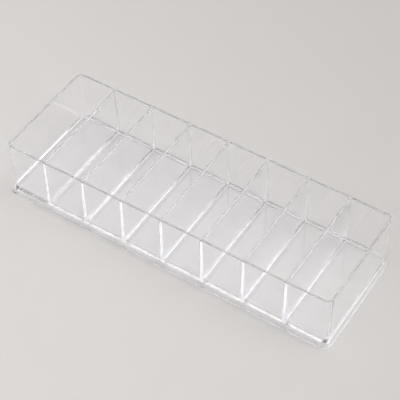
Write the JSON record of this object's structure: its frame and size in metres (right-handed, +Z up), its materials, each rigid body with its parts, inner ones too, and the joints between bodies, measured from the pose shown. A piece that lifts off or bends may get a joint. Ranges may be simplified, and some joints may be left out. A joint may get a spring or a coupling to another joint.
{
  "type": "cosmetic organizer box",
  "caption": "Clear open-topped cosmetic organizer tray on a low foot flange, split crosswise into equal compartments by lift-out dividers.",
  "frame": {"origin": "middle of the underside, on the plane that the box stands on", "axes": "+X along the box to the right as seen from the front, +Y to the back, +Z up"},
  "size_m": [0.245, 0.085, 0.0446],
  "materials": {
    "clear_plastic": "clear, colourless, polished"
  },
  "bodies": {
    "tray": {"tray": "clear_plastic"},
    "divider_1": {"divider_1": "clear_plastic"},
    "divider_2": {"divider_2": "clear_plastic"},
    "divider_3": {"divider_3": "clear_plastic"},
    "divider_4": {"divider_4": "clear_plastic"},
    "divider_5": {"divider_5": "clear_plastic"},
    "divider_6": {"divider_6": "clear_plastic"},
    "divider_7": {"divider_7": "clear_plastic"}
  },
  "joints": [
    {"name": "divider_1_lift", "type": "slide", "parent": "tray", "child": "divider_1", "axis": [0, 0, 1], "range_m": [0, 0.046]},
    {"name": "divider_2_lift", "type": "slide", "parent": "tray", "child": "divider_2", "axis": [0, 0, 1], "range_m": [0, 0.046]},
    {"name": "divider_3_lift", "type": "slide", "parent": "tray", "child": "divider_3", "axis": [0, 0, 1], "range_m": [0, 0.046]},
    {"name": "divider_4_lift", "type": "slide", "parent": "tray", "child": "divider_4", "axis": [0, 0, 1], "range_m": [0, 0.046]},
    {"name": "divider_5_lift", "type": "slide", "parent": "tray", "child": "divider_5", "axis": [0, 0, 1], "range_m": [0, 0.046]},
    {"name": "divider_6_lift", "type": "slide", "parent": "tray", "child": "divider_6", "axis": [0, 0, 1], "range_m": [0, 0.046]},
    {"name": "divider_7_lift", "type": "slide", "parent": "tray", "child": "divider_7", "axis": [0, 0, 1], "range_m": [0, 0.046]}
  ]
}
